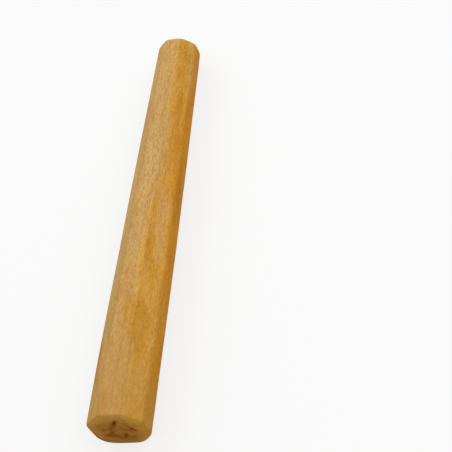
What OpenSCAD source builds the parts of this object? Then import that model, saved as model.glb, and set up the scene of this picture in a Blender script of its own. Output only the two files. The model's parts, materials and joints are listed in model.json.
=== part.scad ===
// Tapered eight-sided hardwood peg. A turned blank was planed to eight flats, and its long
// edges and both rims were softened. The thick end keeps the marks of the lathe's drive centre.
//
// The peg lies on one flat: x runs along it towards the thick end, z = 0 is the surface under
// it, and the origin is the middle of its footprint.

/* [Shank] */
// Length along the axis, from end face to end face
length = 150; // [60:1:300]
// Width across opposite flats at the thick end
thick_w = 19; // [18:0.1:30]
// Width across opposite flats at the thin end
thin_w = 14.2; // [8:0.1:18]
// Height that one flat was left proud at the thick end; it fades to none at the thin end
proud_h = 1.4; // [0:0.1:2]

/* [Softened edges] */
// Radius along each edge between two flats
arris_r = 1.4; // [0.3:0.1:2.5]
// Radius of the rim round each end face
rim_r = 1.1; // [0.3:0.1:2.5]

/* [Lathe centre marks] */
// Diameter of the circle on which the four prongs bit
prong_circle = 8.8; // [6:0.1:10]
// Length of a prong's mark
prong_l = 2.4; // [1:0.1:3]
// Width of a prong's mark at the face
prong_w = 0.7; // [0.3:0.1:1.2]
// Depth of a prong's mark
prong_deep = 1.5; // [0.5:0.1:3]
// Angle between a mark and the radius through it
prong_skew = 45; // [0:5:90]
// Height of the marks' centre above the peg's axis
prong_up = 1.1; // [-1.5:0.1:1.5]
// Distance of the marks' centre from the peg's axis, towards +y
prong_aside = 0.5; // [-1.5:0.1:1.5]

/* [Hidden] */

$fn = 64;

flat_count = 8;
prong_count = 4;
// Flats are counted round from the one underneath, which is flat 0
proud_flat = flat_count - 1;

// Long enough to pass right through the peg, along it and across it
reach_along = 2 * (length + thick_w);
reach_across = 2 * thick_w;
// Angle at which a round meets the faces beside it, which leaves each of its edges clean
crease = 8;

// While the peg is cut it stands on its thin end, with the origin in the middle of that end
// and flat 0 towards +x. A face is [outward normal, distance from the origin].

// Distance of flat i from the axis at the thick end, and its lean away from the axis
function thick_side(i) = thick_w / 2 + (i == proud_flat ? proud_h : 0);
function lean(i) = atan((thick_side(i) - thin_w / 2) / length);
function turn(i) = i * 360 / flat_count;

function flat_face(i) = [
    [cos(lean(i)) * cos(turn(i)), cos(lean(i)) * sin(turn(i)), -sin(lean(i))],
    cos(lean(i)) * thin_w / 2
];

function unit(v) = v / norm(v);
// Half of the angle between the normals of faces p and q
function half_angle(p, q) = acos(p[0] * q[0]) / 2;
// Centre of the round of radius r between faces p and q; side points from p towards q
function round_centre(p, q, side, r) =
    let (half = half_angle(p, q), inset = r * cos(crease))
    unit(p[0] + q[0]) * (p[1] + q[1] - 2 * inset) / (2 * cos(half))
        + side * (q[1] - p[1]) / (2 * sin(half));

// What a round of radius r takes off a corner that points to +x, drawn about the round's
// centre. The normals of the corner's two sides lie half to either side of +x.
module corner_waste(half, r) {
    difference() {
        polygon([
            [0, 0],
            2 * r * [cos(half), -sin(half)],
            2 * r * [1 / cos(half), 0],
            2 * r * [cos(half), sin(half)]
        ]);
        circle(r);
    }
}

// The peg seen from the side, between flat i on the right and the flat opposite it, with
// the rims of both ends rounded
module side_view(i) {
    right = thick_side(i);
    left = thick_side(i + flat_count / 2);
    right_lean = lean(i);
    left_lean = lean(i + flat_count / 2);
    faces = [
        [[cos(right_lean), -sin(right_lean)], cos(right_lean) * thin_w / 2],
        [[0, 1], length],
        [[-cos(left_lean), -sin(left_lean)], cos(left_lean) * thin_w / 2],
        [[0, -1], 0]
    ];
    difference() {
        polygon([[thin_w / 2, 0], [right, length], [-left, length], [-thin_w / 2, 0]]);
        for (k = [0:3]) {
            p = faces[k];
            q = faces[(k + 1) % 4];
            out = unit(p[0] + q[0]);
            translate(round_centre(p, q, [-out.y, out.x], rim_r))
                rotate(atan2(out.y, out.x))
                    corner_waste(half_angle(p, q), rim_r);
        }
    }
}

// All the flats and both ends, while the edges between the flats are still sharp
module planed_blank() {
    intersection_for (i = [0:flat_count / 2 - 1])
        rotate([90, 0, turn(i)])
            linear_extrude(reach_across, center = true)
                side_view(i);
}

// What is taken off the edge between flat i and the next one
module arris_waste(i) {
    p = flat_face(i);
    q = flat_face((i + 1) % flat_count);
    out = unit(p[0] + q[0]);
    along = unit(cross(p[0], q[0]));
    side = cross(along, out);
    centre = round_centre(p, q, side, arris_r);
    multmatrix([for (k = [0:2]) [out[k], side[k], along[k], centre[k]]])
        linear_extrude(reach_along, center = true)
            corner_waste(half_angle(p, q), arris_r);
}

// Wedge cut by a chisel-edged prong. It is twice as tall as the mark is deep, so that it is
// prong_w wide where it crosses the face.
module prong_mark() {
    rotate([90, 0, 90 - prong_skew])
        linear_extrude(prong_l, center = true)
            polygon([[0, -prong_deep], [prong_w, prong_deep], [-prong_w, prong_deep]]);
}

module drive_centre_marks() {
    translate([-prong_up, prong_aside, length])
        for (i = [0:prong_count - 1])
            rotate(i * 360 / prong_count)
                translate([prong_circle / 2, 0, 0])
                    prong_mark();
}

module standing_peg() {
    difference() {
        planed_blank();
        for (i = [0:flat_count - 1])
            arris_waste(i);
        drive_centre_marks();
    }
}

// Ends of the lying peg in x, measured from the lower edge of the thin end
taper = lean(0);
lying_from = rim_r * ((cos(2 * taper) + sin(taper)) / cos(taper) - 1) - thin_w * sin(taper);
lying_to = (length - rim_r * (1 + sin(taper))) / cos(taper) + rim_r;

module peg() {
    color([0.77, 0.59, 0.32])
        translate([-(lying_from + lying_to) / 2, 0, 0])
            rotate([0, 90 - taper, 0])
                translate([-thin_w / 2, 0, 0])
                    standing_peg();
}

peg();
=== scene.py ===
# %% [markdown]
# # A tapered wooden peg
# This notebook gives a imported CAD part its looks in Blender. The part is a peg of pale golden
# hardwood, a little shorter than a hand: a turned blank that was planed to eight flats, with
# its long edges and both rims rubbed soft. Four marks in the thick end show where the lathe's
# driving centre bit into it.
#
# First the part comes in as a fixed frame. Everything made later takes its place from that
# frame, in metres.

import json
import math

import bmesh
import bpy
from mathutils import Matrix, Vector


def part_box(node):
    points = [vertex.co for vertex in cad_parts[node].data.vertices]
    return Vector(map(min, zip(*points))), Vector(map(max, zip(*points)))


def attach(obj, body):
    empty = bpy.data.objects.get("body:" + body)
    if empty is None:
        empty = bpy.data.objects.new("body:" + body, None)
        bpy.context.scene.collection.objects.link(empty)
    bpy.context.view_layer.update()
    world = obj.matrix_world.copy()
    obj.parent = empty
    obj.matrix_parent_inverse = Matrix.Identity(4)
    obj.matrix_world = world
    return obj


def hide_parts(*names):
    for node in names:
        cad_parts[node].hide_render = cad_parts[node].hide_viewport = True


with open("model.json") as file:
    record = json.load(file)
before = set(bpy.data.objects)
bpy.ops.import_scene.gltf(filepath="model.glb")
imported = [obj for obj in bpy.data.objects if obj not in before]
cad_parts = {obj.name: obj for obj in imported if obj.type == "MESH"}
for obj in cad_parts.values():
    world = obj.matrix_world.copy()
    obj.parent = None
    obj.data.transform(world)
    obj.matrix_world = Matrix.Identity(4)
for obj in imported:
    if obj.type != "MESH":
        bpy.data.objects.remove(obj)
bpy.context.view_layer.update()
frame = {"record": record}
MM = 0.001

# %% [markdown]
# The record names the places where the peg meets other things. The middle of each end face is
# one of them, so the two together give the peg's axis. The peg lies on one flat, which is why
# its axis rises a little towards the thick end.

# %% Find the peg's axis
mounts = {mount["name"]: mount for mount in frame["record"]["mounts"]}
thin_centre = Vector(mounts["thin_end"]["pos_m"])
thick_centre = Vector(mounts["thick_end"]["pos_m"])
axis = (thick_centre - thin_centre).normalized()
length = (thick_centre - thin_centre).length / MM
taper = math.asin(axis.z)

# A flat's distance from the axis at each end. The axis is that far above the flat underneath.
thin_half = thin_centre.z / math.cos(taper) / MM
thick_half = thick_centre.z / math.cos(taper) / MM

print(f"the peg is {length:.1f} mm long, {2 * thin_half:.1f} mm across at the thin end and")
print(f"{2 * thick_half:.1f} mm at the thick end; each flat leans {math.degrees(taper):.2f} degrees")

# %% [markdown]
# The camera comes early, because every later choice is judged through it. It looks down on the
# peg from beyond the thick end, with a long lens from a few peg lengths away, so that the peg
# hardly narrows with distance. Azimuth and elevation say where the camera stands, and a roll
# about the line of sight turns the peg in the picture. Blender can aim a camera with a Track To
# constraint, but a matrix made of the three directions holds the roll as well.

# %% Camera
low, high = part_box("peg")
middle = (low + high) / 2
# The view is centred beside the peg, this far from its middle in mm
view_shift = Vector((3.44, 26.18, -1.48))
look_at = middle + view_shift * MM
azimuth = math.radians(120.81)
elevation = math.radians(52.89)
roll = math.radians(30.127)
camera_away = 2.7259 * length * MM

outward = Vector((
    math.sin(azimuth) * math.cos(elevation),
    -math.cos(azimuth) * math.cos(elevation),
    math.sin(elevation),
))
level_right = Vector((0, 0, 1)).cross(outward).normalized()
level_up = outward.cross(level_right)
right = level_right * math.cos(roll) - level_up * math.sin(roll)
up = level_up * math.cos(roll) + level_right * math.sin(roll)

camera_data = bpy.data.cameras.new("camera")
camera_data.lens = 100
camera_data.sensor_width = 36
camera = bpy.data.objects.new("camera", camera_data)
bpy.context.scene.collection.objects.link(camera)
camera.matrix_world = Matrix.Translation(look_at + outward * camera_away) @ Matrix((
    (right.x, up.x, outward.x, 0),
    (right.y, up.y, outward.y, 0),
    (right.z, up.z, outward.z, 0),
    (0, 0, 0, 1),
))
bpy.context.scene.camera = camera

print("camera at", [round(v, 4) for v in camera.matrix_world.translation])

# %% [markdown]
# The peg lies on a plain floor. One large square is enough for it.

# %% Floor
floor_half_side = 40 * length * MM
floor_gap = 0.01 * MM

floor_mesh = bpy.data.meshes.new("floor")
corners = [(-1, -1), (1, -1), (1, 1), (-1, 1)]
floor_mesh.from_pydata(
    [(x * floor_half_side, y * floor_half_side, low.z - floor_gap) for x, y in corners],
    [],
    [(0, 1, 2, 3)],
)
floor = bpy.data.objects.new("floor", floor_mesh)
bpy.context.scene.collection.objects.link(floor)

print(f"floor {2 * floor_half_side:.1f} m a side, just under the peg")

# %% [markdown]
# Seen by the camera or in a reflection, the floor is mostly its own white, so that it stays
# pale all over, and the rest of it takes the light, so that the peg keeps a soft shadow. Far
# from the peg it is all white, which hides the horizon. The Light Path node tells what kind of
# ray has met the floor. For the light that the floor throws back on the peg it is a middle
# grey, which keeps the peg's lower flats from glowing.
#
# Two small helpers shorten the writing of nodes here and in everything below.

# %% White of the floor
bounce_grey = (0.50, 0.50, 0.50, 1)
floor_white = (0.95, 0.95, 0.95, 1)
white = (1, 1, 1, 1)
# Where a Mix node keeps its two colours among its inputs, and the mixed one among its outputs
first_colour, second_colour, mixed = 6, 7, 2
# The floor's own white makes this share of it near the peg, and all of it far away
near_share = 0.76
fade_from = 1.0 * length * MM
fade_to = 3.0 * length * MM


def new_nodes(owner):
    """Empties a node tree and returns the tree, its nodes and a short way to link two sockets."""
    owner.use_nodes = True
    tree = owner.node_tree
    tree.nodes.clear()
    return tree, tree.nodes, tree.links.new


def math_node(tree, operation, *values):
    """A Math node; each value is a number or a socket to link."""
    node = tree.nodes.new("ShaderNodeMath")
    node.operation = operation
    for k, value in enumerate(values):
        if isinstance(value, bpy.types.NodeSocket):
            tree.links.new(value, node.inputs[k])
        else:
            node.inputs[k].default_value = value
    return node.outputs[0]


white_paint = bpy.data.materials.new("white_paint")
tree, nodes, link = new_nodes(white_paint)
ray = nodes.new("ShaderNodeLightPath").outputs
coat = nodes.new("ShaderNodeMix")
coat.data_type = "RGBA"
coat.inputs[first_colour].default_value = bounce_grey
coat.inputs[second_colour].default_value = floor_white
link(ray["Is Camera Ray"], coat.inputs["Factor"])
painted = nodes.new("ShaderNodeBsdfDiffuse")
link(coat.outputs[mixed], painted.inputs["Color"])
plain_white = nodes.new("ShaderNodeEmission")
plain_white.inputs["Color"].default_value = white
plain_white.inputs["Strength"].default_value = 1

place = nodes.new("ShaderNodeTexCoord")
reach = nodes.new("ShaderNodeVectorMath")
reach.operation = "LENGTH"
link(place.outputs["Object"], reach.inputs[0])
fade = nodes.new("ShaderNodeMapRange")
fade.inputs["From Min"].default_value = fade_from
fade.inputs["From Max"].default_value = fade_to
fade.inputs["To Min"].default_value = near_share
fade.inputs["To Max"].default_value = 1.0
link(reach.outputs["Value"], fade.inputs["Value"])

seen = math_node(tree, "MAXIMUM", ray["Is Camera Ray"], ray["Is Glossy Ray"])
seen = math_node(tree, "MAXIMUM", seen, ray["Is Transmission Ray"])
both = nodes.new("ShaderNodeMixShader")
link(math_node(tree, "MULTIPLY", seen, fade.outputs["Result"]), both.inputs["Fac"])
link(painted.outputs["BSDF"], both.inputs[1])
link(plain_white.outputs["Emission"], both.inputs[2])
surface = nodes.new("ShaderNodeOutputMaterial")
link(both.outputs["Shader"], surface.inputs["Surface"])
floor_mesh.materials.append(white_paint)

print("the floor's white has", len(nodes), "nodes")

# %% [markdown]
# The light is that of a bright room. A pale sky all round does the most, because soft light
# from every side shows a colour nearly as it is. The camera sees that sky as plain white.

# %% Sky
sky_level = 0.50

world = bpy.data.worlds.new("pale_sky")
bpy.context.scene.world = world
tree, nodes, link = new_nodes(world)
ray = nodes.new("ShaderNodeLightPath").outputs
brightness = nodes.new("ShaderNodeMapRange")
brightness.inputs["To Min"].default_value = sky_level
brightness.inputs["To Max"].default_value = 1.0
seen = math_node(tree, "MAXIMUM", ray["Is Camera Ray"], ray["Is Transmission Ray"])
link(seen, brightness.inputs["Value"])
sky = nodes.new("ShaderNodeBackground")
sky.inputs["Color"].default_value = white
link(brightness.outputs["Result"], sky.inputs["Strength"])
surface = nodes.new("ShaderNodeOutputWorld")
link(sky.outputs["Background"], surface.inputs["Surface"])
bpy.context.scene.view_settings.view_transform = "Standard"

print("the sky lights the peg at a level of", sky_level)

# %% [markdown]
# Two large soft lamps make one side of the peg brighter than the other: a window that stands
# behind the thin end, and a bright ceiling. A lamp's power is worked out from the light that it
# should throw on the peg, where a level of 1 would show a white surface as plain white. That
# way a lamp can be moved or made larger without a new guess at its power.

# %% Lamps
lamp_away = 1.2


def soft_lamp(name, towards, side, level):
    """A square lamp that lights the peg from the direction towards, at the given level."""
    lamp = bpy.data.lights.new(name, "AREA")
    lamp.shape = "SQUARE"
    lamp.size = side
    lamp.energy = level * (math.pi * lamp_away) ** 2
    stand = bpy.data.objects.new(name, lamp)
    direction = Vector(towards).normalized()
    stand.location = middle + direction * lamp_away
    stand.rotation_euler = direction.to_track_quat("Z", "Y").to_euler()
    bpy.context.scene.collection.objects.link(stand)
    print(f"{name}: {lamp.energy:.2f} W, {lamp_away} m away")


soft_lamp("ceiling", towards=(-0.15, 0.55, 0.82), side=0.9, level=0.34)
soft_lamp("window", towards=(-0.58, -0.52, 0.63), side=0.8, level=0.26)

# %% [markdown]
# ## The peg's shape
# The real peg has eight flats cut with a plane, so that no two are quite alike, and edges
# rubbed soft afterwards. One flat, beside the one that it lies on, was left proud at the thick
# end. The shape could be a bevelled prism, but a bevel is the same all the way along. Here a
# cross-section is described by how far out its surface lies in each direction round the axis.
# A soft minimum of the eight flats gives the flats and rounds the edges between them in one
# formula, and its power says how sharp the edges are.
#
# Directions and flats are counted from the top flat, towards +y. Lengths are in mm, and a place
# along the peg runs from 0 at the thin end to 1.

# %% Cross-section of the shank
flat_count = 8
flat_angle = 2 * math.pi / flat_count
lying_flat = 4
proud_flat = 5
proud_height = 1.4
# The driven end has swollen a little on two of its lower flats
swollen_flats = {3: 0.44, 5: 0.34}
# Two flats were left a little full some way before the thick end
full_flats = {6: 0.12, 7: 0.16}
# The flats bulge a little mid-length and waver as the plane left them, less so at the ends
belly_height = 0.16
waver_height = 0.07
# Share of an edge's radius that its round cuts from the sharp corner
corner_cut = 1 / math.cos(flat_angle / 2) - 1


def smooth_step(low_edge, high_edge, value):
    """Rises softly from 0 at one edge to 1 at the other."""
    share = min(max((value - low_edge) / (high_edge - low_edge), 0), 1)
    return share * share * (3 - 2 * share)


def waver(along, seed):
    """A slow uneven wave from -1 to 1 for each seed, as a hand plane leaves."""
    return (
        math.sin(2.1 * along * math.pi + 1.7 * seed)
        + 0.6 * math.sin(4.7 * along * math.pi + 3.9 * seed + 0.8)
        + 0.4 * math.sin(8.3 * along * math.pi + 5.3 * seed + 2.1)
    ) / 2


def flat_distances(along):
    """How far each flat lies from the axis at a place along the peg."""
    plain = thin_half + (thick_half - thin_half) * along
    mid_length = math.sin(math.pi * along) ** 2
    swollen = smooth_step(0.92, 1, along)
    full = smooth_step(0.55, 0.8, along) * smooth_step(0.97, 0.85, along)
    distances = []
    for flat in range(flat_count):
        distance = plain
        if flat != lying_flat:
            distance += belly_height * mid_length
            distance += waver_height * mid_length * waver(along, flat)
        if flat == proud_flat:
            distance += proud_height * along
        distance += swollen_flats.get(flat, 0) * swollen + full_flats.get(flat, 0) * full
        distances.append(distance)
    return distances


def reach_out(distances, angle, radius):
    """Distance from the axis to the surface in the direction angle; radius is the edges'."""
    sharpness = math.log(2) * (distances[0] / math.cos(flat_angle / 2)) / (corner_cut * radius)
    total = 0
    for flat, distance in enumerate(distances):
        facing = math.cos(angle - flat * flat_angle)
        if facing > 0:
            total += (facing / distance) ** sharpness
    return total ** (-1 / sharpness)


print("from the axis to the flats mid-length:", [round(d, 2) for d in flat_distances(0.5)])

# %% [markdown]
# The thick end was sawn across and then driven onto the four prongs of a lathe's centre. Each
# prong left a short deep slit with a little wood pushed up beside it. The slits could be cut
# with booleans, but those leave clean edges, where the real ones are crushed. So they are cut
# into the end face as a height map: for a point on the face, each mark says how far the wood
# sinks or rises there. Positions are in mm from the middle of the face, (towards +y, towards
# the top).

# %% Marks of the lathe centre
prong_marks = {
    "upper": {"start": (-0.20, 4.00), "end": (1.60, 6.90), "width": 1.35, "deep": 0.8},
    "right": {"start": (4.35, 2.35), "end": (5.45, 0.00), "width": 1.35, "deep": 0.95},
    "lower": {"start": (1.80, -1.90), "end": (0.60, -4.50), "width": 1.15, "deep": 0.7},
    "left": {"start": (-5.10, 2.00), "end": (-3.40, 0.85), "width": 1.10, "deep": 0.25},
}
lip_height = 0.05
# How far a slit strays from a straight line, and the share of its width lost at its tips
stray = 0.07
narrowing = 0.35


def mark_at(mark, y, z):
    """How deep one prong went at a point, and how far the wood beside it rose, both 0 to 1."""
    y0, z0 = mark["start"]
    y1, z1 = mark["end"]
    long_y, long_z = y1 - y0, z1 - z0
    span = math.hypot(long_y, long_z)
    step = ((y - y0) * long_y + (z - z0) * long_z) / span / span
    aside = ((y - y0) * long_z - (z - z0) * long_y) / span
    aside += stray * math.sin(9 * step + 5 * z0)
    half = mark["width"] / 2 * (1 - narrowing * (2 * step - 1) ** 2)
    ends = smooth_step(-0.12, 0.12, step) * smooth_step(1.12, 0.88, step)
    sunk = max(0, 1 - abs(aside) / half) * ends
    raised = math.exp(-((abs(aside) - 1.35 * half) / (0.45 * half)) ** 2) * ends
    return sunk, raised


def end_relief(y, z):
    """Height of the thick end's surface over a flat face, in mm, and how much of a pit it is."""
    height = 0
    pit = 0
    for mark in prong_marks.values():
        sunk, raised = mark_at(mark, y, z)
        height += lip_height * raised * (1 - pit) - mark["deep"] * sunk
        pit = max(pit, sunk * min(1, mark["deep"]))
    return height, pit


print("a prong's mark at its middle:", round(-end_relief(0.7, 5.45)[0], 2), "mm deep")

# %% [markdown]
# Hands and years have rubbed the peg. Its long edges are blunter near the thick end, some more
# than others, and both rims are round. A Bevel modifier would round them all alike, so each
# radius is a function of the place instead. A rim is a quarter circle that turns from the shank
# to the end face, a little larger where it crosses an edge. On one side of the thick end it is
# drawn out over the face, where a hand takes hold of the peg.

# %% Edges and rims
edge_radius = 1.4
# How much more than usual each long edge was rubbed, counted from the top flat towards +y
edge_rubbing = [1.8, 1.0, 1.5, 1.2, 1.3, 1.3, 1.0, 1.2]
# Where along the peg all edges get blunter: (from, to, share added to the radius)
blunter = [(0.70, 0.92, 0.5), (0.92, 1, 0.9), (0.06, 0, 0.3)]
# One edge has had the hardest knocks on the thick end, and got blunter still
knocked_edge = 2
knocked = (0.93, 1, 1.0)
rim_on_flat = 1.05
rim_on_edge = 1.35
# Where the thick end's rim was rubbed most, and how far that goes along the shank and the face
most_rubbed = math.radians(40)
rub_along = 0.5
rub_over_face = 2.7
# How far the middle of an end face stands out from its rim
dome = 0.10


def edge_nearness(distances, angle):
    """1 on an edge, where two flats lie equally far out, and 0 in the middle of a flat."""
    facing = sorted(
        max(math.cos(angle - flat * flat_angle), 0) / distance
        for flat, distance in enumerate(distances)
    )
    alone = math.cos(flat_angle)
    return max(0, (facing[-2] / facing[-1] - alone) / (1 - alone))


def edge_round(along, angle):
    """Radius of the edges, which were rubbed more in some places than in others."""
    edge = math.floor(angle / flat_angle) % flat_count
    blunted = 1
    for start, end, added in blunter + [knocked] if edge == knocked_edge else blunter:
        blunted += added * smooth_step(start, end, along)
    return edge_radius * edge_rubbing[edge] * blunted * (1 + 0.2 * waver(along, 11 + edge))


def shank_reach(x, angle):
    """Distance from the axis to the shank's surface; x is in mm from the thin end."""
    along = min(max(x / length, 0), 1)
    return reach_out(flat_distances(along), angle, edge_round(along, angle))


def rubbing_at(angle):
    """How much of the thick end's rim the hand has rubbed away, from 0 to 1."""
    return smooth_step(-0.3, 0.6, math.cos(angle - most_rubbed))


def rim_radius(end, angle):
    """Radius of a rim before the hand rubbed it."""
    distances = flat_distances(0 if end == "thin" else 1)
    return rim_on_flat + (rim_on_edge - rim_on_flat) * edge_nearness(distances, angle) ** 2


def rim_point(end, angle, lift):
    """A point on a rim; lift turns from 0 at the shank to a right angle at the face."""
    radius = rim_radius(end, angle)
    rubbing = rubbing_at(angle) if end == "thick" else 0
    along_shank = radius + rub_along * rubbing
    over_face = radius + rub_over_face * rubbing
    inwards = along_shank * (1 - math.sin(lift)) + dome * math.sin(lift)
    x = inwards if end == "thin" else length - inwards
    return x, shank_reach(x, angle) - over_face * (1 - math.cos(lift))


print("edge radii mid-length:", [
    round(edge_round(0.5, (edge + 0.5) * flat_angle), 2) for edge in range(flat_count)
])

# %% [markdown]
# The whole surface is one closed skin made of rings of points. It starts in the middle of the
# thin end, goes out over that face, round its rim, along the shank, round the other rim and back
# to the middle of the thick end. Made this way, it needs no modifier and has no seam. The rings
# stand close together where the surface bends, and each ring has more of its points on the edges
# than on the flats. The thick face has many rings, because its marks are so fine.

# %% Rings of points
per_flat = 28
ring_points = per_flat * flat_count
thin_face_rings = 26
rim_rings = 16
shank_rings = 200
thick_face_rings = 60
right_angle = math.pi / 2
# The rings of the shank leave room at each end for the rim
clear_of_rims = rim_on_edge + rub_along + 0.2


def ring_directions():
    """Directions of a ring's points, a little closer together at the edges."""
    found = []
    for flat in range(flat_count):
        for k in range(per_flat):
            spread = 2 * k / per_flat - 1
            crowded = math.copysign(abs(spread) ** 0.85, spread)
            found.append((flat + crowded / 2) * flat_angle)
    return found


directions = ring_directions()


def face_ring(end, share):
    """A ring on an end face, at a share of the way from its middle to its rim."""
    inwards = dome * share ** 2
    x = inwards if end == "thin" else length - inwards
    return [(x, rim_point(end, a, right_angle)[1] * share) for a in directions]


def rim_ring(end, k):
    return [rim_point(end, a, right_angle * k / rim_rings) for a in directions]


def shank_ring(k):
    x = clear_of_rims + (length - 2 * clear_of_rims) * k / shank_rings
    return [(x, shank_reach(x, a)) for a in directions]


rings = [face_ring("thin", k / thin_face_rings) for k in range(1, thin_face_rings + 1)]
rings += [rim_ring("thin", k) for k in range(rim_rings - 1, -1, -1)]
rings += [shank_ring(k) for k in range(shank_rings + 1)]
rings += [rim_ring("thick", k) for k in range(rim_rings)]
rings += [face_ring("thick", 1 - k / thick_face_rings) for k in range(thick_face_rings)]

print(len(rings), "rings of", len(directions), "points")

# %% [markdown]
# The wood isn't the same all over. Oil and light have turned some flats more amber than others,
# and soft stains lie here and there along the shank. The paler gold of the top flat and of the
# flat beside it towards -y is partly painted sheen, and some patches are painted shade. Such
# things could be painted by hand on an image, but here each point of the skin notes how strong
# they are at its place, and the material reads the notes as masks. The points stand close enough
# for soft shapes, and the grain that breaks up their borders comes later, in the material.

# %% Tones, stains and painted sheen and shade of the shank
# How amber each flat is, counted from the top flat; the palest two face up and are partly painted
# sheen
flat_tones_and_sheen = [0.0, 0.62, 1.05, 0.8, 0.6, 0.5, 0.35, -0.40]
# Where the oil was drawn in more, and where the wood under it is paler, redder or greyer; one
# kind is painted shade, and the greyer kind is partly painted shade where a flat turns from the
# light: (place along the peg, degrees round from the top, mm long, degrees wide, strength)
stains_and_shade = {
    "gold": [(0.04, 42, 14, 22, 0.7), (0.60, 30, 8, 14, 0.7), (0.79, 35, 15, 26, 0.8),
             (0.10, 100, 12, 16, 0.6), (0.66, 95, 12, 16, 0.5), (0.30, 150, 14, 30, 0.8),
             (0.75, 215, 16, 30, 0.8), (0.20, 280, 12, 25, 0.7),
             (0.73, -42, 10, 14, 0.4), (0.77, 6, 9, 14, 0.45)],
    "orange": [(0.22, 47, 15, 14, 0.7), (0.33, 60, 10, 10, 0.7), (0.48, 30, 11, 12, 0.35),
               (0.43, 84, 13, 18, 0.9), (0.75, 64, 8, 10, 0.4), (0.76, -2, 6, 12, 0.5),
               (0.60, 170, 16, 20, 0.8), (0.35, 240, 14, 24, 0.8), (0.85, 300, 10, 18, 0.7)],
    "rosy": [(0.70, -8, 9, 14, 0.8), (0.86, -4, 9, 14, 0.8), (0.97, -6, 8, 16, 1.0),
             (0.55, -40, 10, 14, 0.6), (0.22, -45, 18, 14, 0.5), (0.93, 30, 8, 12, 0.5),
             (0.50, 200, 20, 26, 0.6), (0.12, 240, 12, 20, 0.6)],
    # Painted shade: darker patches on the shank that stand for shade, not a stain
    "shade": [(0.79, 38, 9, 20, 0.2), (0.45, 88, 12, 20, 0.5), (0.82, 100, 8, 14, 0.5),
              (0.78, -30, 7, 12, 0.5), (0.55, 230, 14, 20, 0.6)],
    "cream": [(0.20, -8, 30, 12, 0.8), (0.28, 20, 16, 9, 0.7), (0.42, -6, 18, 12, 0.7),
              (0.55, 5, 12, 12, 0.5), (0.87, -5, 14, 12, 0.6), (0.52, 48, 20, 16, 0.8),
              (0.95, 55, 10, 16, 0.5), (0.95, 90, 10, 16, 0.5), (0.40, 140, 20, 14, 0.6)],
    # Greyer patches; those near -64 degrees are painted shade where the surface turns from the light
    "dull_and_shade": [(0.74, -64, 18, 14, 1.0), (0.88, -64, 12, 12, 0.8), (0.97, -62, 8, 12, 0.6),
             (0.30, 200, 16, 30, 0.6), (0.65, 130, 14, 24, 0.6)],
}


def tone_at(along, angle):
    """Tone of the flats, which run into each other over the edge between them."""
    place = angle / flat_angle + 0.06 * waver(1.7 * along, 23)
    # Between the top flat and the next one the amber wanders to and fro over the edge
    crossing = smooth_step(-0.4, 0.2, place) * smooth_step(1.3, 0.8, place)
    wander = 0.10 - 0.17 * math.cos(2 * math.pi * (along - 0.30) / 0.62)
    place += crossing * wander
    before = math.floor(place)
    share = smooth_step(0.20, 0.80, place - before)
    here, after = flat_tones_and_sheen[before % flat_count], flat_tones_and_sheen[(before + 1) % flat_count]
    return here + (after - here) * share


def stain_and_shade_at(kind, along, angle):
    """How strong one kind of stain or of painted shade is at a place of the shank, from 0 to 1."""
    total = 0
    for stain_along, round_from_top, long, wide, strength in stains_and_shade[kind]:
        aside = (math.degrees(angle) - round_from_top + 180) % 360 - 180
        reach = ((along - stain_along) * length / long) ** 2 + (aside / wide) ** 2
        total += strength * math.exp(-reach)
    return min(total, 1)


print({kind: len(places) for kind, places in stains_and_shade.items()}, "stains_and_shade")

# %% [markdown]
# The thick end has more to show: fibres that the drive bruised round the prongs, patches that
# are olive, warm or pale, and painted shade inside the lower part of its rim, which turns away
# from the light. They are noted in the same way, each as a soft oval.

# %% Spots and painted rim shade of the thick end
# (y, z, half length, half width, direction in degrees from y, strength), in mm from the middle
spots = {
    "bruise": [(-2.7, -1.7, 2.2, 0.8, 66, 0.9), (-3.1, -2.7, 2.0, 1.6, 60, 0.6),
               (-1.6, -3.4, 2.2, 1.3, -35, 0.6), (-1.8, 1.8, 2.6, 1.3, 62, 0.45),
               (-0.7, 3.6, 1.8, 1.3, 50, 0.5), (0.6, 5.4, 1.6, 1.0, 60, 0.7),
               (1.6, 7.1, 1.6, 0.9, 55, 0.4), (3.4, -3.7, 2.4, 1.5, -35, 0.5),
               (4.3, 4.6, 2.4, 1.3, -75, 0.45), (4.9, 1.2, 2.2, 0.9, -64, 0.6),
               (3.2, 0.4, 2.0, 1.1, 20, 0.35), (1.2, -3.2, 1.8, 1.0, 70, 0.5),
               (-0.4, -5.2, 3.0, 1.0, 5, 0.4), (-5.2, -2.4, 1.8, 1.5, 0, 0.4),
               (2.0, -6.3, 2.2, 0.8, 0, 0.3)],
    "olive": [(-4.3, 1.4, 1.1, 0.9, 20, 0.9), (1.0, -3.6, 1.2, 0.7, 70, 0.6),
              (-3.6, 4.6, 2.0, 1.2, 30, 0.2), (0.6, 1.0, 1.6, 1.0, 10, 0.4),
              (6.6, 3.6, 1.6, 1.0, 60, 0.4)],
    "warm": [(-7.0, -1.0, 3.0, 1.5, 85, 0.8), (-7.0, 4.0, 2.5, 1.3, 80, 0.8),
             (-5.6, -4.6, 2.0, 1.4, -30, 0.5), (0.5, -6.9, 3.0, 0.9, 0, 0.6)],
    "pale": [(-7.3, -3.8, 1.4, 1.0, 80, 1.0), (-6.4, -1.4, 1.8, 1.0, 75, 0.8),
             (-7.4, 2.0, 2.4, 0.9, 85, 0.6), (5.2, -5.3, 1.8, 1.1, 30, 1.0),
             (6.4, -2.8, 2.2, 1.3, 60, 1.0), (7.6, -0.4, 2.4, 1.1, 75, 0.8),
             (7.4, 2.6, 2.0, 1.0, 80, 0.6), (-6.2, 5.2, 2.0, 1.0, 60, 0.6)],
}
# The painted shade lies in a band this far inside the outline, in mm
rim_shade_inside = 0.9
rim_shade_width = 0.8
rim_shade_strength = 1.35


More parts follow.
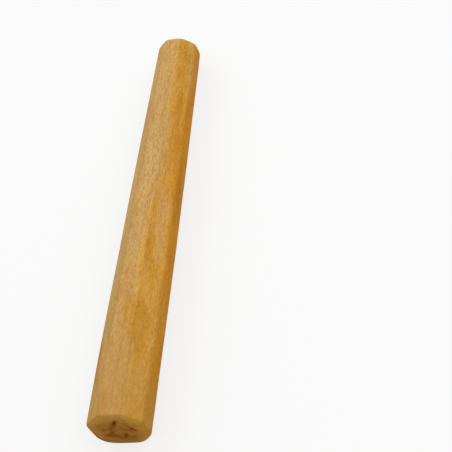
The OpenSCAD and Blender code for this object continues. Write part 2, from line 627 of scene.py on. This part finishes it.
def spot_at(kind, y, z):
    """How strong one kind of spot is at a point of the thick end, from 0 to 1."""
    total = 0
    for y0, z0, half_long, half_wide, direction, strength in spots[kind]:
        turn = math.radians(direction)
        step = (y - y0) * math.cos(turn) + (z - z0) * math.sin(turn)
        aside = (z - z0) * math.cos(turn) - (y - y0) * math.sin(turn)
        total += strength * math.exp(-(step / half_long) ** 2 - (aside / half_wide) ** 2)
    return min(total, 1)


def rim_shade_at(inside, angle):
    """Painted shade along the lower part of the rim; inside is in mm from the outline."""
    round_from_top = math.degrees(angle) % 360
    reach = smooth_step(135, 175, round_from_top) * smooth_step(285, 240, round_from_top)
    return rim_shade_strength * reach * math.exp(-((inside - rim_shade_inside) / rim_shade_width) ** 2)


print({kind: len(places) for kind, places in spots.items()}, "spots")

# %% [markdown]
# The rings become points here. The peg's own axes are x along it from the thin end, y across it
# and z towards the top flat, so that every texture can follow the grain. Besides the tones,
# stains, spots and painted rim shade, each point notes how much end grain shows there, how near
# it is to an edge and how deep in a pit.

# %% Points of the skin
# A mask of the thick end fades out over this stretch of the shank, in mm from the end
thick_end_from, thick_end_to = 4, 1

skin = bmesh.new()
mask_names = ["end_grain", "edge", "pit", "tone", "rim_shade"]
mask_names += ["stain_" + kind for kind in stains_and_shade]
mask_names += ["spot_" + kind for kind in spots]
masks = {name: skin.verts.layers.float.new(name) for name in mask_names}


def end_grain_at(inside, angle):
    """How much end grain shows; a rubbed rim is side grain for longer."""
    rubbing = rubbing_at(angle)
    return smooth_step(0.3 + 0.6 * rubbing, 3.0 + 2.0 * rubbing, inside)


def add_point(x, away, angle):
    """A point of the skin, x mm from the thin end and away mm from the axis, with its notes."""
    y, z = away * math.sin(angle), away * math.cos(angle)
    inside = shank_reach(x, angle) - away
    on_thick_end = smooth_step(length - thick_end_from, length - thick_end_to, x)
    relief, depth = end_relief(y, z) if x > length - 2 * dome else (0, 0)
    x += relief
    along = x / length
    notes = {
        "end_grain": end_grain_at(inside, angle),
        "edge": smooth_step(0.70, 1, edge_nearness(flat_distances(along), angle)),
        "pit": depth,
        "tone": tone_at(along, angle),
        "rim_shade": rim_shade_at(inside, angle) * on_thick_end,
    }
    for kind in stains_and_shade:
        notes["stain_" + kind] = stain_and_shade_at(kind, along, angle)
    for kind in spots:
        notes["spot_" + kind] = spot_at(kind, y, z) * on_thick_end
    point = skin.verts.new((x * MM, y * MM, z * MM))
    for name, value in notes.items():
        point[masks[name]] = value
    return point


thin_pole = add_point(0, 0, 0)
thick_pole = add_point(length, 0, 0)
points = [[add_point(x, away, a) for (x, away), a in zip(ring, directions)] for ring in rings]

print(len(skin.verts), "points, each with", len(masks), "masks")

# %% [markdown]
# Faces join each ring to the next one, and a fan of triangles closes each end. The skin also
# gets a flat map of itself, for anyone who paints or bakes it. The shank unrolls to a long strip
# and the two end faces, with their rims, lie above it as discs, drawn larger because they have
# the finer marks.

# %% Faces and their flat map
strip_corner = (0.02, 0.02)
strip_size = (0.96, 0.56)
disc_radius = 0.17
disc_middles = {"thin": (0.22, 0.80), "thick": (0.62, 0.80)}
rings_before_shank = thin_face_rings + rim_rings
rings_before_rim = rings_before_shank + shank_rings
last_ring = len(rings) - 1
unfolded = skin.loops.layers.uv.new("unfolded")


def on_strip(ring, column):
    x = rings[ring][column % ring_points][0]
    return (
        strip_corner[0] + strip_size[0] * x / length,
        strip_corner[1] + strip_size[1] * column / ring_points,
    )


def on_disc(end, ring, column):
    """Distance from the disc's middle follows the number of rings from the pole."""
    steps = ring + 1 if end == "thin" else len(rings) - ring
    rings_out = rings_before_shank + 1 if end == "thin" else rim_rings + thick_face_rings + 1
    angle = directions[column % ring_points]
    out = disc_radius * steps / rings_out
    u, v = disc_middles[end]
    return u + out * math.sin(angle), v + out * math.cos(angle)


def place_on_map(patch, ring, column):
    return on_strip(ring, column) if patch == "shank" else on_disc(patch, ring, column)


def add_face(corners, places):
    face = skin.faces.new(corners)
    face.smooth = True
    for loop, place in zip(face.loops, places):
        loop[unfolded].uv = place


for ring in range(last_ring):
    patch = "shank"
    if ring < rings_before_shank:
        patch = "thin"
    if ring >= rings_before_rim:
        patch = "thick"
    for column in range(ring_points):
        after = column + 1
        square = [(ring, column), (ring, after), (ring + 1, after), (ring + 1, column)]
        add_face(
            [points[r][c % ring_points] for r, c in square],
            [place_on_map(patch, r, c) for r, c in square],
        )
for column in range(ring_points):
    after = column + 1
    add_face(
        [thin_pole, points[0][after % ring_points], points[0][column]],
        [disc_middles["thin"], on_disc("thin", 0, after), on_disc("thin", 0, column)],
    )
    add_face(
        [thick_pole, points[last_ring][column], points[last_ring][after % ring_points]],
        [
            disc_middles["thick"],
            on_disc("thick", last_ring, column),
            on_disc("thick", last_ring, after),
        ],
    )
bmesh.ops.recalc_face_normals(skin, faces=skin.faces)

print(len(skin.faces), "faces in the skin")

# %% [markdown]
# The mesh is turned and moved to where the CAD part lies, and its object stays at the origin,
# as every piece of the frame does. That way its place is in its points, and the textures find
# the peg's own axes by undoing the same turn and move.

# %% The peg's object
peg_mesh = bpy.data.meshes.new("wooden_peg")
skin.to_mesh(peg_mesh)
skin.free()
peg_mesh.transform(Matrix.Translation(thin_centre) @ Matrix.Rotation(-taper, 4, "Y"))
peg = bpy.data.objects.new("wooden_peg", peg_mesh)
bpy.context.scene.collection.objects.link(peg)

print("the peg measures, in mm:", [round(v / MM, 2) for v in peg.dimensions])

# %% [markdown]
# ## The wood
# The peg's wood is a close, pale golden hardwood that oil and handling have turned amber. Its
# colour changes on several scales: broad soft patches, streaks that follow the grain, and fine
# fibres with small darker pores. The same kind of streak is wanted at several widths, so it is
# made once, as a node group with the streak's width and length as inputs. Inside it is noise
# whose space is squeezed across the grain and drawn out along it.

# %% A group for streaks along the grain


def new_group(name, inputs):
    """A shader node group with the named input values, which puts out a mask."""
    group = bpy.data.node_groups.new(name, "ShaderNodeTree")
    for label, value in inputs.items():
        socket = group.interface.new_socket(
            name=label, in_out="INPUT", socket_type="NodeSocketFloat"
        )
        socket.default_value = value
    group.interface.new_socket(name="Mask", in_out="OUTPUT", socket_type="NodeSocketFloat")
    given = group.nodes.new("NodeGroupInput").outputs
    return group, given, group.nodes.new("NodeGroupOutput").inputs["Mask"]


def place_on_peg(tree):
    """The place on the peg in mm: x along the grain, y across, z towards the top flat."""
    here = tree.nodes.new("ShaderNodeTexCoord")
    own_axes = tree.nodes.new("ShaderNodeMapping")
    own_axes.vector_type = "TEXTURE"
    own_axes.inputs["Location"].default_value = thin_centre
    own_axes.inputs["Rotation"].default_value = (0, -taper, 0)
    own_axes.inputs["Scale"].default_value = (MM, MM, MM)
    tree.links.new(here.outputs["Object"], own_axes.inputs["Vector"])
    split = tree.nodes.new("ShaderNodeSeparateXYZ")
    tree.links.new(own_axes.outputs["Vector"], split.inputs[0])
    return split.outputs


def vector_of(tree, *values):
    """A vector made of three sockets."""
    node = tree.nodes.new("ShaderNodeCombineXYZ")
    for value, socket in zip(values, node.inputs):
        tree.links.new(value, socket)
    return node.outputs[0]


def noise_at(tree, vector, seed=None, detail=None):
    """Soft noise with lumps about one unit wide; each seed gives another piece of it."""
    noise = tree.nodes.new("ShaderNodeTexNoise")
    noise.inputs["Scale"].default_value = 1.0
    tree.links.new(vector, noise.inputs["Vector"])
    if seed is not None:
        noise.noise_dimensions = "4D"
        tree.links.new(seed, noise.inputs["W"])
    if detail is not None:
        tree.links.new(detail, noise.inputs["Detail"])
    return noise.outputs[0]


def make_streaks():
    group, given, mask = new_group(
        "grain_streaks",
        {"Width": 1.0, "Length": 20.0, "Seed": 0.0, "Detail": 2.0, "Contrast": 1.0},
    )
    x, y, z = place_on_peg(group)
    stretched = vector_of(
        group,
        math_node(group, "DIVIDE", x, given["Length"]),
        math_node(group, "DIVIDE", y, given["Width"]),
        math_node(group, "DIVIDE", z, given["Width"]),
    )
    noise = noise_at(group, stretched, given["Seed"], given["Detail"])
    # Contrast spreads the noise about its middle, 0.5
    centred = math_node(group, "SUBTRACT", noise, 0.5)
    wider = math_node(group, "MULTIPLY", centred, given["Contrast"])
    kept = group.nodes.new("ShaderNodeClamp")
    group.links.new(math_node(group, "ADD", wider, 0.5), kept.inputs["Value"])
    group.links.new(kept.outputs[0], mask)
    return group


grain_streaks = make_streaks()
print("group made:", grain_streaks.name, [s.name for s in grain_streaks.interface.items_tree])

# %% [markdown]
# Close woods show small spindle-shaped flecks, where rays of the tree's tissue come up to the
# surface. Scattered cells, stretched along the grain, have just that shape round their middles.

# %% A group for flecks


def make_flecks():
    group, given, mask = new_group(
        "ray_flecks", {"Width": 1.0, "Length": 2.0, "Seed": 0.0, "Size": 0.4}
    )
    x, y, z = place_on_peg(group)
    along = math_node(group, "DIVIDE", x, given["Length"])
    stretched = vector_of(
        group,
        math_node(group, "ADD", along, given["Seed"]),
        math_node(group, "DIVIDE", y, given["Width"]),
        math_node(group, "DIVIDE", z, given["Width"]),
    )
    cells = group.nodes.new("ShaderNodeTexVoronoi")
    cells.inputs["Scale"].default_value = 1.0
    group.links.new(stretched, cells.inputs["Vector"])
    inside = group.nodes.new("ShaderNodeMapRange")
    inside.interpolation_type = "SMOOTHSTEP"
    group.links.new(cells.outputs["Distance"], inside.inputs["Value"])
    group.links.new(given["Size"], inside.inputs["From Min"])
    inside.inputs["From Max"].default_value = 0.0
    group.links.new(inside.outputs["Result"], mask)
    return group


ray_flecks = make_flecks()
print("group made:", ray_flecks.name)

# %% [markdown]
# A tree lays down one ring a year. The peg was split from the wood some way out from the heart,
# so the rings cross it as gentle arcs: fine lines along the flats and curves on the end grain.
# A Wave texture has rings too, but they lie round the object itself. These come from the
# distance to the heart of the tree, bent a little so that no line is ruled.

# %% A group for the year rings
# The heart of the tree in mm from the peg's axis, (towards +y, towards the top flat)
heart_of_tree = (-46.0, -30.0)
# The bend changes slowly: this much of a lump of noise in each mm along and across the grain
bend_along = 0.02
bend_across = 0.16
# Each year starts pale and darkens slowly to a fine dark line; a higher power, a finer line
lateness = 4.0


def from_heart(tree, y, z):
    """How far a place lies from the heart of the tree: across, above and in a straight line."""
    across = math_node(tree, "SUBTRACT", y, heart_of_tree[0])
    above = math_node(tree, "SUBTRACT", z, heart_of_tree[1])
    squares = [math_node(tree, "POWER", side, 2.0) for side in (across, above)]
    return across, above, math_node(tree, "SQRT", math_node(tree, "ADD", *squares))


def make_year_rings():
    group, given, mask = new_group("year_rings", {"Spacing": 2.0, "Bend": 1.0})
    x, y, z = place_on_peg(group)
    distance = from_heart(group, y, z)[2]
    calm = vector_of(
        group,
        math_node(group, "MULTIPLY", x, bend_along),
        math_node(group, "MULTIPLY", y, bend_across),
        math_node(group, "MULTIPLY", z, bend_across),
    )
    shift = math_node(group, "MULTIPLY", noise_at(group, calm), given["Bend"])
    bent = math_node(group, "ADD", distance, shift)
    year = math_node(group, "FRACT", math_node(group, "DIVIDE", bent, given["Spacing"]))
    group.links.new(math_node(group, "POWER", year, lateness), mask)
    return group


year_rings = make_year_rings()
print("group made:", year_rings.name)

# %% [markdown]
# On the end grain, fine rays run straight out from the heart of the tree and cross the rings.
# They are streaks laid along the direction away from the heart: what the other streaks measure
# across the grain, these measure round the heart.

# %% A group for the tree's rays
heart_distance = math.hypot(*heart_of_tree)
# How much of a lump of noise the rays change in each mm along the grain
ray_change = 0.15


def make_tree_rays():
    group, given, mask = new_group("tree_rays", {"Width": 0.3, "Length": 5.0, "Seed": 0.0})
    x, y, z = place_on_peg(group)
    across, above, distance = from_heart(group, y, z)
    turn = math_node(group, "ARCTAN2", above, across)
    around = math_node(group, "MULTIPLY", turn, heart_distance)
    fanned = vector_of(
        group,
        math_node(group, "DIVIDE", around, given["Width"]),
        math_node(group, "DIVIDE", distance, given["Length"]),
        math_node(group, "MULTIPLY", x, ray_change),
    )
    # The middle half of the noise is spread over the whole mask
    sharper = group.nodes.new("ShaderNodeMapRange")
    sharper.inputs["From Min"].default_value = 0.25
    sharper.inputs["From Max"].default_value = 0.75
    group.links.new(noise_at(group, fanned, given["Seed"]), sharper.inputs["Value"])
    group.links.new(sharper.outputs["Result"], mask)
    return group


tree_rays = make_tree_rays()
print("group made:", tree_rays.name)

# %% [markdown]
# The material works from the largest effect to the smallest, and each step paints over the one
# before it. It is one long chain of Mix nodes, so a few helpers come first. They use the groups,
# read what the skin has noted, spread a part of a mask over a new range, break up a mask's
# border, and paint.

# %% A material and its helpers
wood = bpy.data.materials.new("golden_wood")
tree, nodes, link = new_nodes(wood)


def group_mask(group, values):
    """The mask that a group gives for the named values."""
    node = nodes.new("ShaderNodeGroup")
    node.node_tree = group
    for label, value in values.items():
        node.inputs[label].default_value = value
    return node.outputs["Mask"]


def streaks(width, along, seed, detail=2.0, contrast=1.0):
    """A mask of streaks of the given width and length in mm."""
    return group_mask(grain_streaks, {
        "Width": width, "Length": along, "Seed": seed, "Detail": detail, "Contrast": contrast,
    })


def flecks(width, along, seed, size):
    """A mask of scattered flecks; width and along are the mean gaps between them in mm."""
    return group_mask(ray_flecks, {"Width": width, "Length": along, "Seed": seed, "Size": size})


def noted(name):
    """A mask that the skin's points carry."""
    node = nodes.new("ShaderNodeAttribute")
    node.attribute_name = name
    return node.outputs["Fac"]


def times(*masks):
    return math_node(tree, "MULTIPLY", *masks)


def plus(*masks):
    return math_node(tree, "ADD", *masks)


def between(value, low_edge, high_edge, to_low=0.0, to_high=1.0):
    """Spreads the part of a mask from low_edge to high_edge over a new range, softly."""
    node = nodes.new("ShaderNodeMapRange")
    node.interpolation_type = "SMOOTHSTEP"
    link(value, node.inputs["Value"])
    node.inputs["From Min"].default_value = low_edge
    node.inputs["From Max"].default_value = high_edge
    node.inputs["To Min"].default_value = to_low
    node.inputs["To Max"].default_value = to_high
    return node.outputs["Result"]


def ragged(mask, by, amount):
    """A mask that another mask, whose middle is 0.5, pushes up and down."""
    return plus(mask, times(plus(by, -0.5), amount))


def paint(under, colour, mask, strength=1.0, blend="MIX"):
    """Puts a colour over another one where the mask says, at the given strength."""
    node = nodes.new("ShaderNodeMix")
    node.data_type = "RGBA"
    node.blend_type = blend
    link(mask if strength == 1 else times(mask, strength), node.inputs["Factor"])
    for socket, value in ((first_colour, under), (second_colour, colour)):
        if isinstance(value, bpy.types.NodeSocket):
            link(value, node.inputs[socket])
        else:
            node.inputs[socket].default_value = value
    return node.outputs[mixed]


def tint(under, change, mask, strength=1.0):
    """Multiplies a colour by another one, which changes it without hiding it."""
    return paint(under, change, mask, strength, "MULTIPLY")


print("material made:", wood.name)

# %% [markdown]
# The tone of each flat comes first, from pale gold to deep amber, with broad patches so that no
# flat is one colour. Over it lies a mottle a few mm long, yellower here and paler or redder
# there, as oiled wood has wherever its fibres tilt a little.

# %% Tone of the flats and mottle
light_gold_and_sheen = (0.760, 0.490, 0.160, 1)
pale_gold_and_sheen = (0.690, 0.420, 0.138, 1)
amber = (0.782, 0.428, 0.088, 1)
deep_amber = (0.782, 0.338, 0.022, 1)
yellower = (0.96, 0.88, 0.60, 1)
paler = (1.03, 1.08, 1.35, 1)
redder = (1.03, 0.91, 0.98, 1)

patches = streaks(width=7.0, along=26.0, seed=3.1, contrast=2.2)
tone = ragged(noted("tone"), patches, 0.70)
# Painted sheen in part: the pale and light gold of the top flat and its neighbour towards -y stand
# partly for sheen
colour = paint(pale_gold_and_sheen, light_gold_and_sheen, between(tone, -0.05, -0.45))
colour = paint(colour, amber, between(tone, 0.0, 0.62))
colour = paint(colour, deep_amber, between(tone, 0.55, 1.05))

mottle = streaks(width=1.9, along=5.5, seed=26.3, contrast=2.2)
blush = streaks(width=1.4, along=4.0, seed=28.9, contrast=2.2)
colour = tint(colour, yellower, between(mottle, 0.52, 1.0), 0.75)
colour = tint(colour, paler, between(mottle, 0.48, 0.0), 0.75)
colour = tint(colour, redder, between(blush, 0.52, 1.0), 0.80)

print(len(nodes), "nodes so far")

# %% [markdown]
# Each kind of stain has its own colour, and so has the painted shade. A stain's soft oval would
# look like a spray of paint, so streaks along the grain break up its border, each kind with
# streaks of its own.

# %% Stains and painted shade
cream = (0.720, 0.460, 0.170, 1)
rosy = (0.680, 0.345, 0.115, 1)
deep_gold = (0.640, 0.288, 0.022, 1)
orange_amber = (0.680, 0.265, 0.016, 1)
shade_brown = (0.420, 0.180, 0.016, 1)
greyed = (0.80, 0.88, 0.90, 1)


def stained_and_shaded(kind, seed):
    """The mask of one kind of stain or of painted shade, with a border that the grain breaks up."""
    grain = streaks(width=2.4, along=9.0, seed=seed, detail=3.0, contrast=2.0)
    return between(ragged(noted("stain_" + kind), grain, 0.7), 0.1, 0.95)


colour = paint(colour, cream, stained_and_shaded("cream", seed=5.7), 0.60)
colour = paint(colour, rosy, stained_and_shaded("rosy", seed=8.4), 0.60)
colour = paint(colour, deep_gold, stained_and_shaded("gold", seed=11.9), 0.80)
colour = paint(colour, orange_amber, stained_and_shaded("orange", seed=14.3), 0.80)
# Painted shade: a darker brown that stands for shade on parts of the shank
colour = paint(colour, shade_brown, stained_and_shaded("shade", seed=17.2), 0.30)
# Greyer patches, partly painted shade where the surface near -64 degrees turns from the light
colour = tint(colour, greyed, stained_and_shaded("dull_and_shade", seed=19.4), 0.50)

print(len(nodes), "nodes so far")

# %% [markdown]
# The grain itself is faint in so close a wood. Year rings and broad streaks darken it a little.
# Fine fibres, a stipple and a soft cloudiness then vary it by up to a few tenths, darker and
# lighter about the colour underneath, and small flecks and pores come last.

# %% Grain
dark_streak = (0.420, 0.190, 0.036, 1)
fleck_brown = (0.400, 0.170, 0.026, 1)
pore_brown = (0.300, 0.130, 0.030, 1)
deeper = (0.60, 0.50, 0.40, 1)
brighter = (1.10, 1.14, 1.19, 1)

years = group_mask(year_rings, {"Spacing": 2.3, "Bend": 3.0})
broad = streaks(width=1.3, along=30.0, seed=21.5, detail=3.0, contrast=1.6)
colour = paint(colour, dark_streak, years, 0.10)
colour = paint(colour, dark_streak, between(broad, 0.45, 0.95), 0.22)


def vary(under, mask, darker, lighter):
    """Deepens a colour where a mask is high and lightens it where the mask is low."""
    deep = tint(under, deeper, between(mask, 0.48, 1.0), darker)
    return tint(deep, brighter, between(mask, 0.52, 0.0), lighter)


fine = streaks(width=0.42, along=6.0, seed=33.3, detail=3.0, contrast=2.4)
stipple = streaks(width=0.32, along=1.25, seed=39.1, contrast=3.0)
cloud = streaks(width=0.9, along=2.1, seed=44.2, contrast=2.4)
colour = vary(colour, fine, darker=0.31, lighter=0.54)
colour = vary(colour, stipple, darker=0.38, lighter=0.74)
colour = vary(colour, cloud, darker=0.20, lighter=0.42)

ray_marks = flecks(width=0.85, along=2.1, seed=0.0, size=0.42)
pores = between(streaks(width=0.16, along=1.7, seed=47.0, detail=1.0, contrast=2.2), 0.80, 1.0)
colour = paint(colour, fleck_brown, ray_marks, 0.42)
colour = paint(colour, pore_brown, pores, 0.35)

print(len(nodes), "nodes so far")

# %% [markdown]
# Hands darken the long edges a little, because that is where they hold the peg, and knocks rub
# a few places on them bare and smooth. One mask says where an edge is, and streaks choose the
# rubbed places.

# %% Handled and rubbed edges
handled = (0.86, 0.85, 0.86, 1)
rubbed = (0.720, 0.430, 0.130, 1)

edges = noted("edge")
colour = tint(colour, handled, edges, 0.55)
rub_breaks = streaks(width=0.9, along=5.0, seed=61.0, contrast=2.0)
edge_wear = times(edges, between(rub_breaks, 0.45, 0.85))
colour = paint(colour, rubbed, edge_wear, 0.20)

print(len(nodes), "nodes so far")

# %% [markdown]
# The last few centimetres before the thick end are deeper gold and a little greyer, and the wood
# next to either end face, which drank the most oil, is warmer. Both follow the distance to an
# end, in mm, so they need no masks from the skin.

# %% Ends of the shank
warmer = (1.18, 1.02, 0.80, 1)

along_peg = place_on_peg(tree)["X"]
from_thick_end = math_node(tree, "SUBTRACT", length, along_peg)
from_an_end = math_node(tree, "MINIMUM", from_thick_end, along_peg)

drawn_in = between(from_thick_end, 36.0, 4.0)
colour = paint(colour, deep_gold, drawn_in, 0.34)
colour = tint(colour, greyed, drawn_in, 0.34)

soaking = streaks(width=1.2, along=3.0, seed=71.0, contrast=2.0)
soaked = between(ragged(from_an_end, soaking, 2.5), 2.2, 0.0)
# The amber flats are warm already, so they take less of it
colour = tint(colour, warmer, times(soaked, between(tone, 0.6, 0.0, to_low=0.35, to_high=0.68)))

print(len(nodes), "nodes so far")

# %% [markdown]
# End grain drinks more oil than side grain, so it is browner, and it shows the cut ends of the
# fibres as speckles and pores. The rings and rays of the tree cross on it. Its colour is built
# on its own and then takes the place of the side grain's colour on the end faces.

# %% End grain
end_gold = (0.625, 0.285, 0.030, 1)
end_brown = (0.480, 0.180, 0.016, 1)
end_olive = (0.330, 0.165, 0.010, 1)
end_orange = (0.720, 0.290, 0.042, 1)
end_pale = (0.860, 0.470, 0.130, 1)

end_patches = streaks(width=2.2, along=8.0, seed=91.0, contrast=2.4)
olive_patches = streaks(width=2.6, along=8.0, seed=93.0, detail=1.0, contrast=2.4)
orange_patches = streaks(width=2.0, along=8.0, seed=95.0, detail=1.0, contrast=2.4)
speckles = streaks(width=0.40, along=1.6, seed=83.0, detail=3.0, contrast=2.4)
rays = group_mask(tree_rays, {"Width": 0.24, "Length": 3.5, "Seed": 19.0})
end_pores = flecks(width=0.36, along=2.5, seed=4.0, size=0.42)

end_colour = paint(end_gold, end_brown, between(end_patches, 0.25, 0.80))
end_colour = paint(end_colour, end_olive, between(olive_patches, 0.5, 0.9), 0.5)
end_colour = paint(end_colour, end_orange, between(orange_patches, 0.52, 0.9), 0.6)
end_colour = paint(end_colour, end_brown, between(speckles, 0.5, 0.9), 0.4)
end_colour = paint(end_colour, end_pale, between(speckles, 0.5, 0.1), 0.20)
end_colour = paint(end_colour, end_pale, between(rays, 0.55, 0.95), 0.30)
end_colour = paint(end_colour, end_brown, between(rays, 0.45, 0.10), 0.45)
end_colour = paint(end_colour, end_olive, years, 0.50)
end_colour = paint(end_colour, pore_brown, end_pores, 0.50)

end_share = noted("end_grain")
colour = paint(colour, end_colour, end_share)

print(len(nodes), "nodes so far")

# %% [markdown]
# The spots of the thick end are torn rather than painted, so a coarse noise with some of the
# tree's rays in it breaks up their borders. The pale ones are only grains of bare wood. The
# painted shade inside the lower rim and the dark floors of the prongs' slits, which are partly
# crushed wood and partly painted shade, go over everything.

# %% Spots, painted rim shade and slits of the thick end
bruised_red = (0.330, 0.075, 0.012, 1)
rim_shade_brown = (0.170, 0.090, 0.012, 1)
slit_brown_and_shade = (0.220, 0.060, 0.004, 1)

crumbs = streaks(width=0.9, along=0.9, seed=97.0, detail=3.0, contrast=2.4)
torn = plus(times(crumbs, 0.6), times(rays, 0.4))


def spotted(kind, tearing):
    """The mask of one kind of spot on the thick end, with a torn border."""
    return between(ragged(noted("spot_" + kind), torn, tearing), -0.1, 1.2)


colour = paint(colour, end_orange, spotted("warm", tearing=0.6), 0.75)
colour = paint(colour, end_olive, spotted("olive", tearing=0.5), 0.75)
colour = paint(colour, bruised_red, spotted("bruise", tearing=0.6), 0.80)

bare_grains = streaks(width=0.15, along=0.5, seed=103.0, detail=3.0, contrast=2.2)
pale_share = times(between(noted("spot_pale"), 0.0, 0.9), 0.70)
colour = paint(colour, end_pale, times(pale_share, between(bare_grains, 0.45, 0.85)))

# Painted shade: a dark band inside the lower rim, which turns away from the light
rim_shaded = between(ragged(noted("rim_shade"), speckles, 0.9), 0.25, 1.35)
colour = paint(colour, rim_shade_brown, rim_shaded, 0.88)
# The slits' floors are darkened: partly crushed wood, partly painted shade inside the slits
sunk = between(ragged(noted("pit"), speckles, 0.2), 0.02, 0.85)
colour = paint(colour, slit_brown_and_shade, sunk, 0.80)

print(len(nodes), "nodes so far")

# %% [markdown]
# Oiled wood that has dried out has hardly any shine. It is roughest on the end grain and a
# little smoother where its edges are rubbed, so the roughness is a sum of the same masks. Too
# fine to be modelled, the fibres and pores stand out and lie back by a few hundredths of a mm
# through a Bump node.

# %% Shine and fine relief
side_roughness = 0.62
relief_height = 0.04 * MM

shader = nodes.new("ShaderNodeBsdfPrincipled")
shader.inputs["Specular IOR Level"].default_value = 0.08
link(colour, shader.inputs["Base Color"])

roughness = plus(times(fine, 0.12), side_roughness)
roughness = plus(roughness, times(end_share, 0.18))
roughness = math_node(tree, "SUBTRACT", roughness, times(edge_wear, 0.08))
link(roughness, shader.inputs["Roughness"])

side_fibres = plus(plus(times(fine, 0.6), times(pores, -0.9)), times(broad, 0.5))
end_fibres = plus(plus(speckles, times(rays, 0.8)), times(end_pores, -0.9))
relief = nodes.new("ShaderNodeBump")
relief.inputs["Strength"].default_value = 0.5
relief.inputs["Distance"].default_value = relief_height
link(plus(side_fibres, times(end_fibres, end_share)), relief.inputs["Height"])
link(relief.outputs["Normal"], shader.inputs["Normal"])
surface = nodes.new("ShaderNodeOutputMaterial")
link(shader.outputs["BSDF"], surface.inputs["Surface"])
peg_mesh.materials.append(wood)

print("the wood has", len(nodes), "nodes")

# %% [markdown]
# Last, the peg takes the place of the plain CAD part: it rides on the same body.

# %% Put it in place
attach(peg, "root")
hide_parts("peg")
